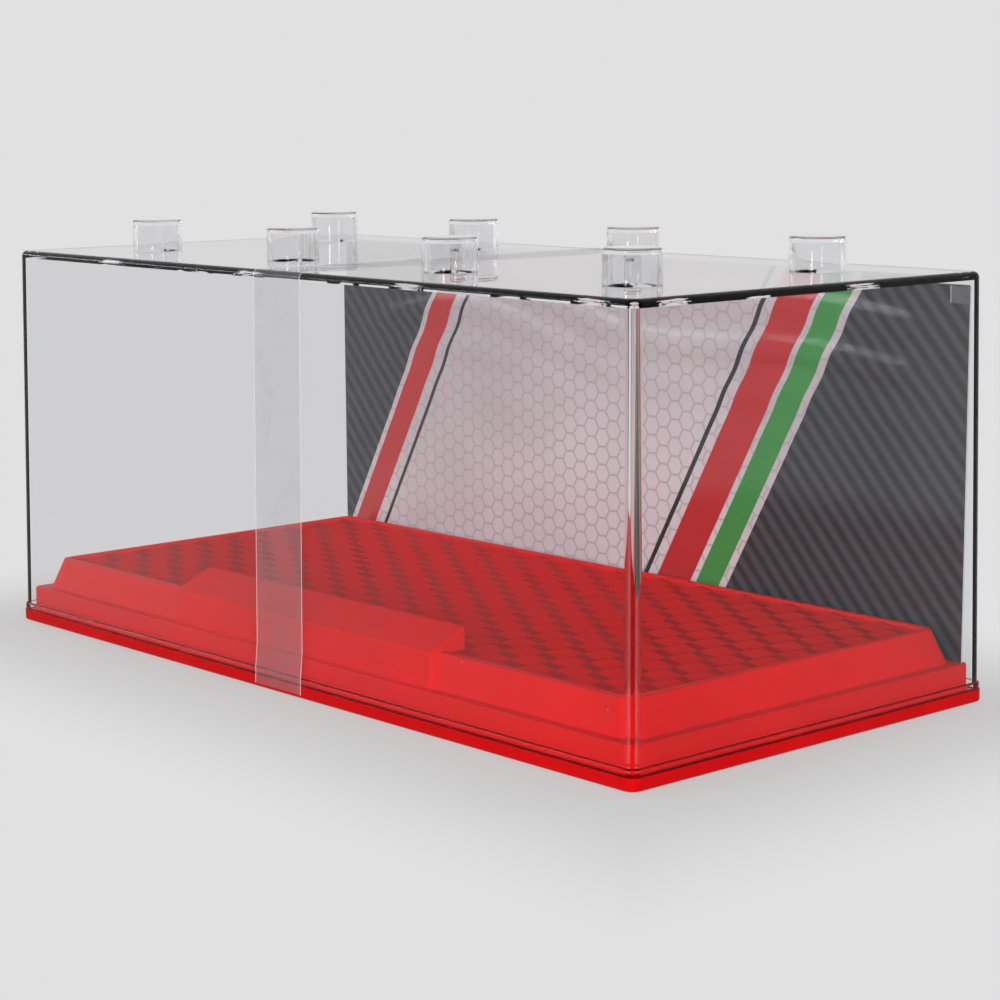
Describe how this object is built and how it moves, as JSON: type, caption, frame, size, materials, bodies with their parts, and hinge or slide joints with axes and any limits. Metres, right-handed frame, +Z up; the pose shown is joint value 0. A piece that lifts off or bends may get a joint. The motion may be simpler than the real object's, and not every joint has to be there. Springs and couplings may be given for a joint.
{
  "type": "display case",
  "caption": "Stacking display case for a scale model: red stepped base with a raised name block, clear lift-off cover with hollow studs on top, and a printed card along the rear wall.",
  "frame": {"origin": "centre of the base's underside, on the surface that the case stands on", "axes": "+X along the length, to the right as seen from the front; -Y to the front, where the name block is; +Z up"},
  "size_m": [0.2382, 0.1174, 0.1093],
  "materials": {
    "red_plastic": "satin injection-moulded plastic with a polished flange",
    "clear_plastic": "clear polished moulded plastic",
    "printed_card": "laminated printed card",
    "clear_film": "clear adhesive film"
  },
  "bodies": {
    "base": {"base_tray": "red_plastic", "name_block": "red_plastic", "tape_tail_front": "clear_film", "tape_tail_rear": "clear_film"},
    "cover": {"clear_cover": "clear_plastic", "backdrop_card": "printed_card", "card_tab_left": "clear_film", "card_tab_right": "clear_film", "seal_tape": "clear_film"}
  },
  "joints": [
    {"name": "cover_lift", "type": "slide", "parent": "base", "child": "cover", "axis": [0, 0, 1], "range_m": [0, 0.105]}
  ]
}
